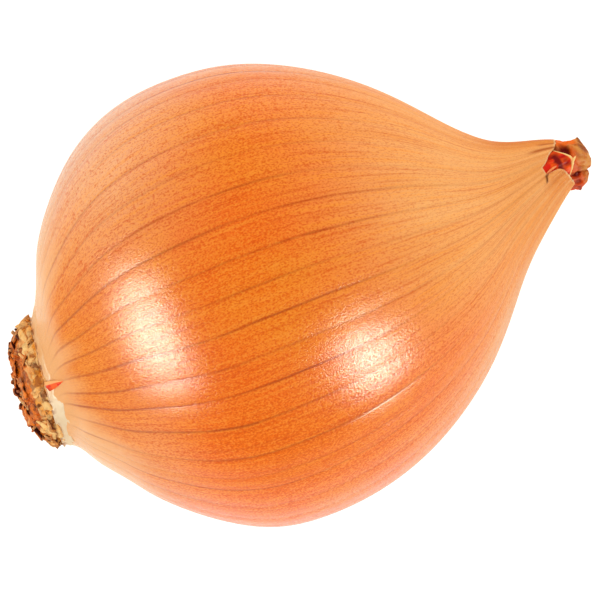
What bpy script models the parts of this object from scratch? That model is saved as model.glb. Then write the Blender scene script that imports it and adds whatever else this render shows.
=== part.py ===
"""A dry onion in its skin, lying on its side.

The root end points to -X and the neck to +X, with +Z up. The origin is under the middle
of the onion, on the surface that it lies on. Lengths are in metres.
"""

import math
import random

import bmesh
import bpy
import numpy as np

MM = 0.001

# Driving dimensions of the bulb
BULB_RADIUS = 37.35 * MM
SKIN_LENGTH = 90.4 * MM  # from the root seat to the neck's rim
REST_FLAT_DEPTH = 0.65 * MM  # how much the resting side is flattened
VEINS = 40  # ribs that run from root to neck

# The skin's outline: share of SKIN_LENGTH, then share of BULB_RADIUS
OUTLINE = (
    (0.0, 0.280), (0.018, 0.334), (0.046, 0.467), (0.075, 0.569), (0.103, 0.657),
    (0.189, 0.851), (0.303, 0.979), (0.389, 1.0), (0.475, 0.982), (0.617, 0.858),
    (0.760, 0.597), (0.832, 0.403), (0.888, 0.267), (0.946, 0.175), (1.0, 0.104),
)
# How far the middle of the bulb lies to the side: share of SKIN_LENGTH, then metres
SIDE_LEAN = (
    (-0.06, -2.5 * MM), (0.0, -2.4 * MM), (0.032, -0.5 * MM), (0.075, 0.1 * MM),
    (0.16, 0.4 * MM), (0.303, -0.08 * MM), (0.475, -0.1 * MM), (0.617, -0.37 * MM),
    (0.72, -0.65 * MM), (0.832, -0.25 * MM), (0.888, 1.05 * MM), (0.946, 2.75 * MM),
    (0.985, 3.75 * MM), (1.05, 4.1 * MM),
)
ROOT_TILT, ROOT_TILT_REACH = math.radians(-4.3), 8 * MM
NECK_TILT, NECK_TILT_REACH = math.radians(6.0), 14 * MM

# Relief of the skin
RIB_HEIGHT = 0.10 * MM
PLEAT_HEIGHT = 0.16 * MM
NECK_WAVE = 0.25 * MM
PLEATS_START, PLEATS_FULL = 0.70, 0.95  # shares of SKIN_LENGTH

# The open neck
SKIN_WALL = 0.65 * MM
FIT_GAP = 0.3 * MM  # between pieces that touch
NECK_FLOOR = 85.9 * MM
RIM_PULL_START = 80 * MM
TEAR_DEPTH, TEAR_ANGLE, TEAR_HALF_WIDTH = 3.3 * MM, math.radians(17), math.radians(26)
INNER_FLOOR, INNER_RIM = 88.4 * MM, 91.2 * MM
INNER_WALL, INNER_FLARE = 0.65 * MM, 0.8 * MM
BLADE_THICKNESS, BLADE_FLARE = 0.62 * MM, 1.6 * MM
HOOD_END, CRUMPLE_END = 94.3 * MM, 93.2 * MM

# The root plate
ROOT_RADIUS = 10.15 * MM
ROOT_HEIGHT = 4.3 * MM
ROOT_EDGE = ((0.97, 0), (1.0, 0.3 * MM), (1.03, 0.8 * MM), (1.0, 1.3 * MM))
ROOT_RINGS = (0.95, 0.87, 0.78, 0.68, 0.57, 0.46, 0.34, 0.22, 0.11)
STUB_ROWS = ((0.93, 20), (0.77, 14), (0.54, 9), (0.27, 5))  # share of radius, count
STUB_SIDES = 5

# How finely each piece is divided
BULB_COLUMNS, BULB_ROWS = 2 * VEINS, 36
SCALE_COLUMNS = 48
ROOT_COLUMNS = 48
COLLAR_COLUMNS = 90

TURN = 2 * math.pi


def smooth_curve(knots, values):
    """A natural cubic spline through the values, as a function of an array of knots."""
    knots, values = np.array(knots, float), np.array(values, float)
    gaps, count = np.diff(knots), len(knots)
    slopes = np.diff(values) / gaps
    matrix, right = np.eye(count), np.zeros(count)
    for i in range(1, count - 1):
        matrix[i, i - 1 : i + 2] = gaps[i - 1], 2 * (gaps[i - 1] + gaps[i]), gaps[i]
        right[i] = 6 * (slopes[i] - slopes[i - 1])
    bends = np.linalg.solve(matrix, right)

    def curve(at):
        at = np.asarray(at, float)
        i = np.clip(np.searchsorted(knots, at) - 1, 0, count - 2)
        left, rest, gap = at - knots[i], knots[i + 1] - at, gaps[i]
        return (
            (bends[i] * rest**3 + bends[i + 1] * left**3) / (6 * gap)
            + (values[i] / gap - bends[i] * gap / 6) * rest
            + (values[i + 1] / gap - bends[i + 1] * gap / 6) * left
        )

    return curve


def skin_outline():
    """Distance along the bulb and radius, both as curves of the arc share from 0 to 1."""
    points = np.array(OUTLINE) * (SKIN_LENGTH, BULB_RADIUS)
    steps = np.hypot(*np.diff(points, axis=0).T)
    share = np.concatenate(([0], np.cumsum(steps))) / steps.sum()
    return smooth_curve(share, points[:, 0]), smooth_curve(share, points[:, 1])


ALONG_AT, RADIUS_AT = skin_outline()
ARC_SHARES = np.linspace(0, 1, 2000)
ARC_ALONG = ALONG_AT(ARC_SHARES)
ARC_RADIUS = RADIUS_AT(ARC_SHARES)
LEAN_AT = smooth_curve(
    [share * SKIN_LENGTH for share, _ in SIDE_LEAN], [lean for _, lean in SIDE_LEAN]
)


def skin_radius(along):
    """The skin's radius at a distance from the root seat."""
    return np.interp(along, ARC_ALONG, ARC_RADIUS)


def ease(share):
    """0 below 0, 1 above 1 and a smooth step between."""
    share = np.clip(share, 0, 1)
    return share * share * (3 - 2 * share)


def tilt_at(along):
    """How far a ring round the bulb turns about Z: the root and the neck face aside."""
    at_root = 1 - ease(along / ROOT_TILT_REACH)
    at_neck = ease((along - SKIN_LENGTH + NECK_TILT_REACH) / NECK_TILT_REACH)
    return ROOT_TILT * at_root + NECK_TILT * at_neck


def round_point(along, radius, angle):
    """A point beside the bulb's middle line. Angle 0 is up, and a quarter turn is +Y."""
    along = np.asarray(along, float)
    tilt, side = tilt_at(along), radius * np.sin(angle)
    return np.stack(
        np.broadcast_arrays(
            along - np.sin(tilt) * side,
            LEAN_AT(along) + np.cos(tilt) * side,
            radius * np.cos(angle),
        ),
        axis=-1,
    )


def vein_angle(turn):
    """The angle of a vein that would be at this share of a turn if all were even."""
    uneven = 0.0035 * np.sin(3 * TURN * turn + 1.0) + 0.0025 * np.sin(7 * TURN * turn + 2.3)
    return TURN * (turn + uneven)


def relief(along, turn):
    """How far the ribs, and the pleats of the neck, stand out of the plain outline."""
    share = along / SKIN_LENGTH
    neck = ease((share - PLEATS_START) / (PLEATS_FULL - PLEATS_START))
    rib = np.cos(TURN * VEINS * turn)
    body = RIB_HEIGHT * ease(share / 0.08) * (1 - neck)
    wave = NECK_WAVE * np.sin(5 * TURN * turn + 0.8) * neck
    return rib * (body + PLEAT_HEIGHT * neck * (0.7 + 0.3 * np.sin(3 * TURN * turn))) + wave


def rim_along(angle, turn):
    """Where the torn rim of the outer skin ends. It is open above, in a pointed tear."""
    away = np.abs(np.angle(np.exp(1j * (angle - TEAR_ANGLE)))) / TEAR_HALF_WIDTH
    tear = TEAR_DEPTH * np.clip(1 - away, 0, 1) ** 0.75
    ragged = 0.22 * MM * np.sin(11 * TURN * turn) + 0.15 * MM * np.sin(23 * TURN * turn + 1)
    return SKIN_LENGTH - 0.6 * MM * (1 + np.sin(angle)) - tear + ragged


def lofted_mesh(name, rings, closed_ends=True):
    """A mesh through rings of points, with its ends closed to their middle points."""
    mesh = bmesh.new()
    loops = [[mesh.verts.new(point) for point in ring] for ring in rings]
    count = len(loops[0])
    for near, far in zip(loops, loops[1:]):
        for i in range(count):
            j = (i + 1) % count
            mesh.faces.new((near[i], near[j], far[j], far[i]))
    if closed_ends:
        for loop in (loops[0], loops[-1]):
            middle = mesh.verts.new(np.mean([v.co for v in loop], axis=0))
            for i in range(count):
                mesh.faces.new((loop[i], middle, loop[(i + 1) % count]))
    bmesh.ops.recalc_face_normals(mesh, faces=mesh.faces)
    return finished_object(name, mesh)


def finished_object(name, mesh):
    """An object with this mesh, shaded smooth apart from its sharp edges."""
    data = bpy.data.meshes.new(name)
    mesh.to_mesh(data)
    mesh.free()
    data.shade_smooth()
    data.set_sharp_from_angle(angle=math.radians(50))
    made = bpy.data.objects.new(name, data)
    bpy.context.scene.collection.objects.link(made)
    return made


def give_material(made, colour, roughness):
    """One Principled material, named for its object."""
    material = bpy.data.materials.new(made.name)
    material.use_nodes = True
    shader = material.node_tree.nodes["Principled BSDF"]
    shader.inputs["Base Color"].default_value = (*colour, 1)
    shader.inputs["Roughness"].default_value = roughness
    shader.inputs["Metallic"].default_value = 0.0
    made.data.materials.append(material)


def apply_modifiers(made):
    """Turns the object's modifiers into its mesh."""
    graph = bpy.context.evaluated_depsgraph_get()
    data = bpy.data.meshes.new_from_object(made.evaluated_get(graph))
    made.modifiers.clear()
    made.data = data


def flatten_underside(made):
    """Cuts the resting side off level, and closes it with one flat face."""
    mesh = bmesh.new()
    mesh.from_mesh(made.data)
    cut = bmesh.ops.bisect_plane(
        mesh,
        geom=mesh.verts[:] + mesh.edges[:] + mesh.faces[:],
        plane_co=(0, 0, REST_FLAT_DEPTH - BULB_RADIUS),
        plane_no=(0, 0, -1),
        clear_outer=True,
    )
    edges = [item for item in cut["geom_cut"] if isinstance(item, bmesh.types.BMEdge)]
    bmesh.ops.contextual_create(mesh, geom=edges)
    bmesh.ops.recalc_face_normals(mesh, faces=mesh.faces)
    mesh.to_mesh(made.data)
    mesh.free()


def make_bulb():
    """The body in its outer skin, with the root seat and the torn, hollow mouth."""
    turn = np.arange(BULB_COLUMNS) / BULB_COLUMNS
    angle = vein_angle(turn)
    rim = rim_along(angle, turn)
    stretch = (rim - RIM_PULL_START) / (SKIN_LENGTH - RIM_PULL_START)

    def on_skin(along):
        pulled = RIM_PULL_START + (along - RIM_PULL_START) * stretch
        along = np.where(along > RIM_PULL_START, pulled, along)
        return along, skin_radius(along) + relief(along, turn)

    rings = [round_point(0, 0.5 * ARC_RADIUS[0], angle)]
    for share in np.linspace(0, 1, BULB_ROWS):
        along, radius = on_skin(ALONG_AT(share))
        rings.append(round_point(along, radius, angle))
    inside = skin_radius(rim) - SKIN_WALL
    rings.append(round_point(rim, inside, angle))
    for share in (0.35, 0.7, 1.0):
        along = rim + (NECK_FLOOR - rim) * share
        rings.append(round_point(along, skin_radius(along) - SKIN_WALL, angle))
    rings.append(round_point(NECK_FLOOR, 0.5 * skin_radius(NECK_FLOOR), angle))
    made = lofted_mesh("bulb", rings)
    flatten_underside(made)
    give_material(made, (0.86, 0.24, 0.03), 0.35)
    return made


def make_inner_scale():
    """The dried scale inside the mouth: a hollow plug whose thick rim flares outside."""
    turn = np.arange(SCALE_COLUMNS) / SCALE_COLUMNS
    angle = vein_angle(turn)
    base = NECK_FLOOR + FIT_GAP
    mouth = SKIN_LENGTH - 0.2 * MM
    rim = INNER_RIM + 0.25 * MM * np.sin(4 * TURN * turn + 1) + 0.15 * MM * np.sin(9 * TURN * turn)
    loose = SKIN_WALL + FIT_GAP + 0.06 * MM

    rings = [round_point(base, 0.5 * skin_radius(base), angle)]
    for share in np.linspace(0, 1, 7):
        along = base + (mouth - base) * share
        ripple = 0.05 * MM * np.cos(16 * TURN * turn) - 0.05 * MM
        rings.append(round_point(along, skin_radius(along) - loose + ripple, angle))
    neck_radius = skin_radius(mouth) - loose
    middle = (mouth + rim) / 2
    rings.append(round_point(middle, neck_radius + 0.45 * INNER_FLARE, angle))
    rings.append(round_point(rim, neck_radius + INNER_FLARE, angle))
    rings.append(round_point(rim, neck_radius + INNER_FLARE - INNER_WALL, angle))
    rings.append(round_point(middle - 0.3 * MM, neck_radius - 0.6 * INNER_WALL, angle))
    rings.append(round_point(INNER_FLOOR, neck_radius - INNER_WALL, angle))
    made = lofted_mesh("inner_scale", rings)
    give_material(made, (0.62, 0.10, 0.02), 0.45)
    return made


def make_blade(name, corners, far_end, radius):
    """A cupped papery blade: an arc between two angles, drawn out to a ragged end."""
    across, rows = 14, 7
    start = INNER_FLOOR + FIT_GAP
    sides = np.linspace(0, 1, across)
    angle = corners[0] + (corners[1] - corners[0]) * sides
    end = far_end - 1.3 * MM * (2 * sides - 1) ** 2 + 0.22 * MM * np.sin(13 * sides)
    mesh = bmesh.new()
    rings = []
    for share in np.linspace(0, 1, rows):
        along = start + (end - start) * share
        spread = radius + BLADE_FLARE * ease((along - INNER_RIM + 0.4 * MM) / (1.8 * MM))
        spread += 0.08 * MM * np.sin(9 * sides + 3 * share)
        curl = 1 - 0.15 * ease((share - 0.7) / 0.3)
        rings.append([mesh.verts.new(p) for p in round_point(along, spread * curl, angle)])
    for near, far in zip(rings, rings[1:]):
        for i in range(across - 1):
            mesh.faces.new((near[i], near[i + 1], far[i + 1], far[i]))
    bmesh.ops.triangulate(mesh, faces=mesh.faces)
    made = finished_object(name, mesh)
    wall = made.modifiers.new("wall", "SOLIDIFY")
    wall.thickness = BLADE_THICKNESS
    wall.offset = 0
    wall.use_even_offset = True
    apply_modifiers(made)
    return made


def join_by_union(base, others):
    """Joins the others to the base with one Boolean union, and removes them."""
    group = bpy.data.collections.new(base.name + "_repeats")
    bpy.context.scene.collection.children.link(group)
    for other in others:
        bpy.context.scene.collection.objects.unlink(other)
        group.objects.link(other)
    union = base.modifiers.new("union", "BOOLEAN")
    union.operation = "UNION"
    union.operand_type = "COLLECTION"
    union.collection = group
    union.solver = "EXACT"
    apply_modifiers(base)
    for other in others:
        bpy.data.objects.remove(other)
    bpy.data.collections.remove(group)


def make_papery_tip():
    """The brown ends of the innermost scales: a plug with cupped blades round it."""
    angle = TURN * np.arange(24) / 24
    start = INNER_FLOOR + FIT_GAP
    hold = skin_radius(SKIN_LENGTH - 0.2 * MM) - SKIN_WALL - 1.45 * MM
    rings = [
        round_point(along, radius, angle)
        for along, radius in ((start, hold), (start + 1.2 * MM, hold), (start + 2.6 * MM, 0.7 * hold))
    ]
    made = lofted_mesh("papery_tip", rings)
    reach = hold - 0.25 * MM
    hood = (math.radians(50), math.radians(232))
    crumple = (math.radians(250), math.radians(345))
    blades = [
        make_blade("hood", hood, HOOD_END, reach),
        make_blade("crumple", crumple, CRUMPLE_END, reach),
    ]
    join_by_union(made, blades)
    give_material(made, (0.42, 0.17, 0.05), 0.7)
    return made


def make_base_collar():
    """The pale ring of torn skin round the root plate, with one flake that stands up."""
    turn = np.arange(COLLAR_COLUMNS) / COLLAR_COLUMNS
    angle = TURN * turn
    flake = np.clip(1 - np.abs(np.angle(np.exp(1j * (angle + 0.09)))) / 0.16, 0, 1)
    inner_edge, thickness = 0.3 * MM, 0.6 * MM
    width = (
        0.95 * MM
        + 0.2 * MM * np.sin(5 * TURN * turn + 1)
        + 0.12 * MM * np.sin(13 * TURN * turn)
        + 1.7 * MM * flake
    )
    rings = []
    for share, top in ((0, 0), (0.5, 0), (1, 0), (1, 1), (0.5, 1), (0, 1)):
        along = inner_edge + width * share
        lift = FIT_GAP + 0.08 * MM + 1.0 * MM * flake * share**2 + thickness * top
        slope = (skin_radius(along + 0.1 * MM) - skin_radius(along - 0.1 * MM)) / (0.2 * MM)
        length = np.hypot(1, slope)
        rings.append(
            round_point(along - lift * slope / length, skin_radius(along) + lift / length, angle)
        )
    rings.append(rings[0])
    mesh = bmesh.new()
    loops = [[mesh.verts.new(point) for point in ring] for ring in rings[:-1]]
    for near, far in zip(loops, loops[1:] + loops[:1]):
        for i in range(COLLAR_COLUMNS):
            j = (i + 1) % COLLAR_COLUMNS
            mesh.faces.new((near[i], near[j], far[j], far[i]))
    bmesh.ops.recalc_face_normals(mesh, faces=mesh.faces)
    made = finished_object("base_collar", mesh)
    give_material(made, (0.84, 0.60, 0.30), 0.5)
    return made


def root_height(share, angle):
    """How far the root plate stands out at a share of its radius, with its broken ridges."""
    dome = ROOT_HEIGHT * np.clip(1 - share**2.6, 0, 1) ** 0.55
    ridges = np.sin(26 * share + 1.5 * np.sin(3 * angle) + 0.9 * np.sin(7 * angle + 1))
    lumps = np.sin(9 * angle + 4 * share) * np.sin(5 * angle - 7 * share)
    return dome + (0.34 * MM * ridges + 0.26 * MM * lumps) * ease(share / 0.2)


def root_point(share, height, angle):
    """A point of the root plate, at a height out of its seat."""
    turned = round_point(0, ROOT_RADIUS * share, angle)
    outward = np.array((-math.cos(ROOT_TILT), -math.sin(ROOT_TILT), 0))
    return turned + np.multiply.outer(np.asarray(height, float), outward)


def make_stub(share, angle, chance):
    """One broken dry root: a short tapered stalk that leans outwards and aside."""
    foot_height = max(float(root_height(share, angle)) - 0.9 * MM, 0.9 * MM)
    lean = 0.5 + 0.9 * share + chance.uniform(-0.2, 0.2)
    aside = chance.uniform(-0.9, 0.9)
    length = chance.uniform(0.6, 1.2) * MM
    radius = chance.uniform(0.5, 0.72) * MM
    foot = root_point(share - 0.08, foot_height, angle)
    outward = root_point(0, 1, 0) - root_point(0, 0, 0)
    radial = root_point(1, 0, angle) - root_point(0, 0, angle)
    radial = radial / np.linalg.norm(radial)
    tangent = np.cross(outward, radial)
    way = outward * math.cos(lean) + (radial * 0.55 + tangent * aside) * math.sin(lean)
    way = way / np.linalg.norm(way)
    first = np.cross(way, tangent + 0.3 * radial)
    first = first / np.linalg.norm(first)
    second = np.cross(way, first)
    rings = []
    for step, width in ((0, 1.0), (0.55, 0.9), (1.0, 0.62)):
        middle = foot + way * (length + 0.9 * MM) * step
        rings.append(
            [
                middle + radius * width * (first * math.cos(a) + second * math.sin(a))
                for a in (TURN * side / STUB_SIDES for side in range(STUB_SIDES))
            ]
        )
    return lofted_mesh("stub", rings)


def make_root_plate():
    """The corky disc at the root end, with the stubs of its dried roots grown on it."""
    angle = TURN * np.arange(ROOT_COLUMNS) / ROOT_COLUMNS
    rings = [root_point(0.5, FIT_GAP, angle)]
    for share, height in ROOT_EDGE:
        rings.append(root_point(share, height + FIT_GAP, angle))
    for share in ROOT_RINGS:
        height = np.maximum(root_height(share, angle), 1.5 * MM)
        rings.append(root_point(share, height + FIT_GAP, angle))
    made = lofted_mesh("root_plate", rings)
    chance = random.Random(7)
    stubs = []
    for share, count in STUB_ROWS:
        for i in range(count):
            at = TURN * (i + chance.uniform(-0.3, 0.3)) / count
            stubs.append(make_stub(share, at, chance))
    join_by_union(made, stubs)
    give_material(made, (0.30, 0.14, 0.05), 0.9)
    return made


def centre_on_origin(pieces):
    """Moves the pieces so that the origin lies under the middle of the whole onion."""
    points = np.array([v.co for piece in pieces for v in piece.data.vertices])
    low, high = points.min(axis=0), points.max(axis=0)
    shift = -np.array(((low[0] + high[0]) / 2, (low[1] + high[1]) / 2, low[2]))
    for piece in pieces:
        piece.location = shift


def clear_scene():
    for old in list(bpy.data.objects):
        bpy.data.objects.remove(old)


def main():
    clear_scene()
    pieces = [
        make_bulb(),
        make_inner_scale(),
        make_papery_tip(),
        make_base_collar(),
        make_root_plate(),
    ]
    centre_on_origin(pieces)


main()
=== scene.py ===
# A dry yellow onion on its side: the looks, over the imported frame.
import math
from functools import partial

import bpy
import numpy as np
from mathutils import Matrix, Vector


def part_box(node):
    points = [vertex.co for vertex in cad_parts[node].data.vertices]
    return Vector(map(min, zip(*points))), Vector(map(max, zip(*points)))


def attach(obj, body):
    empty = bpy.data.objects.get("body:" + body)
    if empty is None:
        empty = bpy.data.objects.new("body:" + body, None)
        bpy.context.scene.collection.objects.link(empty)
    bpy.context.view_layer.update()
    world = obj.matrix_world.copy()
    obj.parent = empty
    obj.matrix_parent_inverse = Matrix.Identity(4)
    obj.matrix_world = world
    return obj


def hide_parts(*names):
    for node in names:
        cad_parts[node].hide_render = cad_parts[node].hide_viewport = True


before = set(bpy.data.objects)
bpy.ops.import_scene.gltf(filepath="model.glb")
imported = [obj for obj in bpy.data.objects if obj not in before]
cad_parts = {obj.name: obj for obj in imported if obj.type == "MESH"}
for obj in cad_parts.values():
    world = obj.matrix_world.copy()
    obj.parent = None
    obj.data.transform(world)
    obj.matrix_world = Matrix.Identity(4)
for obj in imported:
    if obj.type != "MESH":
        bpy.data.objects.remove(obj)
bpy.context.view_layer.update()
print("frame ready,", len(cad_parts), "nodes")

mm = 0.001
turnAngle = 2 * math.pi

# The bulb's measures in mm. Along runs from the root seat to the neck.
bulbShape = {
    "radius": 37.35,
    "skinLength": 90.4,
    # share of the length, then share of the radius
    "outline": (
        (0.0, 0.280), (0.018, 0.334), (0.046, 0.467), (0.075, 0.569), (0.103, 0.657),
        (0.189, 0.851), (0.303, 0.979), (0.389, 1.0), (0.475, 0.982), (0.617, 0.858),
        (0.760, 0.597), (0.832, 0.403), (0.888, 0.267), (0.946, 0.175), (1.0, 0.104),
    ),
    # share of the length, then how far the middle lies to the side
    "sideLean": (
        (-0.06, -2.5), (0.0, -2.4), (0.032, -0.5), (0.075, 0.1), (0.16, 0.4), (0.303, -0.08),
        (0.475, -0.1), (0.617, -0.37), (0.72, -0.65), (0.832, -0.25), (0.888, 1.05),
        (0.946, 2.75), (0.985, 3.75), (1.05, 4.1),
    ),
    "rootTilt": math.radians(-4.3),
    "rootTiltReach": 8.0,
    "neckTilt": math.radians(6.0),
    "neckTiltReach": 14.0,
    "restFlat": 0.65,
    "widest": 0.389,  # share of the length
    "pastNeck": 0.12,  # mm off the radius for each mm past the outline's end
}


def smoothCurve(knots, values):
    # natural cubic spline: the bends solve the usual three-term system, zero at both ends
    knots = np.array(knots, float)
    values = np.array(values, float)
    gaps = np.diff(knots)
    slopes = np.diff(values) / gaps
    inner = np.diag(2 * (gaps[:-1] + gaps[1:]))
    inner = inner + np.diag(gaps[1:-1], 1) + np.diag(gaps[1:-1], -1)
    bends = np.concatenate(([0], np.linalg.solve(inner, 6 * np.diff(slopes)), [0]))

    def curve(at):
        at = np.asarray(at, float)
        i = np.clip(np.searchsorted(knots, at) - 1, 0, len(gaps) - 1)
        left = at - knots[i]
        right = knots[i + 1] - at
        gap = gaps[i]
        cubic = (bends[i] * right**3 + bends[i + 1] * left**3) / (6 * gap)
        lower = (values[i] / gap - bends[i] * gap / 6) * right
        upper = (values[i + 1] / gap - bends[i + 1] * gap / 6) * left
        return cubic + lower + upper

    return curve


outlinePoints = np.array(bulbShape["outline"]) * (bulbShape["skinLength"], bulbShape["radius"])
outlineSteps = np.hypot(*np.diff(outlinePoints, axis=0).T)
outlineShares = np.concatenate(([0], np.cumsum(outlineSteps))) / outlineSteps.sum()
alongAt = smoothCurve(outlineShares, outlinePoints[:, 0])
radiusAt = smoothCurve(outlineShares, outlinePoints[:, 1])
leanPoints = np.array(bulbShape["sideLean"]) * (bulbShape["skinLength"], 1)
leanAt = smoothCurve(leanPoints[:, 0], leanPoints[:, 1])
fineShares = np.linspace(0, 1, 2000)


def skinRadius(along):
    # the plain outline's radius at a distance from the root seat; the neck goes on past it
    beyond = np.clip(np.asarray(along, float) - bulbShape["skinLength"], 0, None)
    plain = np.interp(along, alongAt(fineShares), radiusAt(fineShares))
    return plain - bulbShape["pastNeck"] * beyond


def ease(share):
    # a smooth step: three times the share squared, less twice its cube
    share = np.clip(share, 0, 1)
    return share * share * (3 - 2 * share)


def bump(at, middle, halfWidth):
    # a soft hump of height 1, zero past the half width
    return ease(1 - np.abs(at - middle) / halfWidth)


def readTable(table, at):
    # a value read off a small table of pairs
    pairs = np.array(table, float)
    return np.interp(at, pairs[:, 0], pairs[:, 1])


def unit(ways):
    # the same directions, one long
    return ways / np.linalg.norm(ways, axis=-1, keepdims=True)


def latticeNoise(x, y, seed, around=64):
    # smooth noise from -1 to 1: seeded values on whole numbers, eased between; x repeats
    lattice = np.random.default_rng(seed).uniform(-1, 1, (around, 256))
    x, y = np.broadcast_arrays(np.asarray(x, float), np.asarray(y, float))
    column = np.floor(x).astype(int)
    row = np.floor(y).astype(int)
    across = ease(x - column)
    up = ease(y - row)
    near = lattice[column % around, row % 256] * (1 - across)
    near = near + lattice[(column + 1) % around, row % 256] * across
    far = lattice[column % around, (row + 1) % 256] * (1 - across)
    far = far + lattice[(column + 1) % around, (row + 1) % 256] * across
    return near * (1 - up) + far * up


def tiltAt(along):
    # how far a ring tilts: by the full angle at the root seat and at the rim, and not between
    atRoot = bulbShape["rootTilt"] * (1 - ease(along / bulbShape["rootTiltReach"]))
    neckStart = bulbShape["skinLength"] - bulbShape["neckTiltReach"]
    atNeck = bulbShape["neckTilt"] * ease((along - neckStart) / bulbShape["neckTiltReach"])
    return atRoot + atNeck


def roundPoints(along, radius, angle):
    # a ring of this radius about the leaning middle line; angle 0 is up, a quarter is +Y
    along = np.asarray(along, float)
    side = radius * np.sin(angle)
    tilt = tiltAt(along)
    parts = np.broadcast_arrays(
        along - np.sin(tilt) * side,
        leanAt(along) + np.cos(tilt) * side,
        radius * np.cos(angle),
    )
    return np.stack(parts, axis=-1)


def inFrame(points):
    # from the bulb's own mm to the frame's metres, by the bulb's box in the frame
    low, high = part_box("bulb")
    seatRadius = radiusAt(0)
    shift = (
        low.x / mm + seatRadius * math.sin(abs(bulbShape["rootTilt"])),
        (low.y + high.y) / 2 / mm - float(leanAt(bulbShape["widest"] * bulbShape["skinLength"])),
        bulbShape["radius"] - bulbShape["restFlat"],
    )
    return (points + np.array(shift)) * mm


def setField(mesh, name, values, kind="FLOAT"):
    # one value a vertex; a field of directions has three
    field = mesh.attributes.new(name, kind, "POINT")
    key = "vector" if kind == "FLOAT_VECTOR" else "value"
    field.data.foreach_set(key, np.asarray(values, np.float32).ravel())


def sheetMesh(name, points, joined=True, poles=(False, False), uv=None, values=None):
    # faces over a grid of points: each cell is one quad, and a pole closes an end row
    rows, columns = points.shape[:2]
    index = np.arange(rows * columns).reshape(rows, columns)
    after = np.roll(index, -1, axis=1) if joined else index[:, 1:]
    before = index if joined else index[:, :-1]
    quads = np.stack((before[:-1], after[:-1], after[1:], before[1:]), axis=-1).reshape(-1, 4)
    vertices = points.reshape(-1, 3)
    faces = quads.tolist()
    for end, wanted in zip((0, -1), poles):
        if wanted:
            middle = len(vertices)
            vertices = np.vstack((vertices, points[end].mean(axis=0)))
            pair = (after[end], before[end]) if end == 0 else (before[end], after[end])
            fan = np.column_stack((*pair, np.full(len(pair[0]), middle)))
            faces = faces + fan.tolist()
    mesh = bpy.data.meshes.new(name)
    mesh.from_pydata(inFrame(vertices).tolist(), [], faces)
    if uv is not None:
        corners = np.stack((uv[:-1, :-1], uv[:-1, 1:], uv[1:, 1:], uv[1:, :-1]), axis=2)
        corners = corners.reshape(-1, 2)
        spare = np.zeros((len(mesh.loops) - len(corners), 2))
        layer = mesh.uv_layers.new(name="skinMap")
        layer.data.foreach_set("uv", np.vstack((corners, spare)).ravel().astype(np.float32))
    for key, value in (values or {}).items():
        extra = len(vertices) - rows * columns
        if np.ndim(value) == 3:
            flat = np.vstack((value.reshape(-1, 3), np.zeros((extra, 3))))
            setField(mesh, key, flat, "FLOAT_VECTOR")
        else:
            flat = np.broadcast_to(value, (rows, columns)).reshape(-1)
            setField(mesh, key, np.concatenate((flat, np.zeros(extra))))
    mesh.validate()
    mesh.shade_smooth()
    return mesh


def faceOutwards(mesh):
    # a closed mesh whose signed volume is negative is inside out
    corner = np.zeros(len(mesh.vertices) * 3)
    mesh.vertices.foreach_get("co", corner)
    corner = corner.reshape(-1, 3)
    mesh.calc_loop_triangles()
    triangle = np.zeros(len(mesh.loop_triangles) * 3, int)
    mesh.loop_triangles.foreach_get("vertices", triangle)
    a, b, c = corner[triangle.reshape(-1, 3)].transpose(1, 0, 2)
    if np.einsum("ij,ij->i", a, np.cross(b, c)).sum() < 0:
        mesh.flip_normals()


def addPiece(name, mesh, material, stands=()):
    # puts a mesh in the scene on the body "root", in place of the nodes that it stands for
    piece = bpy.data.objects.new(name, mesh)
    bpy.context.scene.collection.objects.link(piece)
    mesh.materials.append(material)
    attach(piece, "root")
    if stands:
        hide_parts(*stands)
    return piece


def addWall(piece, thickness):
    # gives a sheet its thickness in mm, half to each side
    wall = piece.modifiers.new("wall", "SOLIDIFY")
    wall.thickness = thickness * mm
    wall.offset = 0
    wall.use_even_offset = True


def hexColour(text):
    # sRGB hex to linear
    parts = [int(text[i : i + 2], 16) / 255 for i in (1, 3, 5)]
    return tuple(p / 12.92 if p <= 0.04045 else ((p + 0.055) / 1.055) ** 2.4 for p in parts) + (1.0,)


def addNode(tree, kind, inputs=None, output=0, **settings):
    # adds a node with its settings, values and links, and gives back one of its outputs
    node = tree.nodes.new("ShaderNode" + kind)
    for key, value in settings.items():
        setattr(node, key, value)
    for key, value in (inputs or {}).items():
        if isinstance(value, bpy.types.NodeSocket):
            tree.links.new(value, node.inputs[key])
        else:
            node.inputs[key].default_value = value
    return node.outputs[output]


def newMaterial(name):
    material = bpy.data.materials.new(name)
    material.use_nodes = True
    tree = material.node_tree
    return material, tree, tree.nodes["Principled BSDF"]


def finishMaterial(tree, shader, look, colour, relief):
    # links what varies over the surface, and sets what is the same all over it
    tree.links.new(colour, shader.inputs["Base Color"])
    tree.links.new(relief, shader.inputs["Normal"])
    shader.inputs["Roughness"].default_value = look["roughness"]
    shader.inputs["Specular IOR Level"].default_value = look["specular"]


smoothRange = {"interpolation_type": "SMOOTHSTEP"}  # for a share that starts and ends softly


# Camera: straight above, turned so that the onion's axis rises to the right
cameraLook = {
    "pixel": 0.16129,  # mm in one pixel of the 600 pixel wide picture, at the bulb's middle
    "width": 600,
    "centre": (42.59, -3.24),  # along and side, in mm
    "roll": math.radians(19),
    "distance": 760.0,
    "sensor": 36.0,
    "clip": (0.01, 20.0),  # m
}


def pictureWay(right, up, near):
    # a direction given as the picture sees it, as a direction in the frame
    cos = math.cos(cameraLook["roll"])
    sin = math.sin(cameraLook["roll"])
    return unit(np.array((cos * right + sin * up, -sin * right + cos * up, near)))


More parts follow.
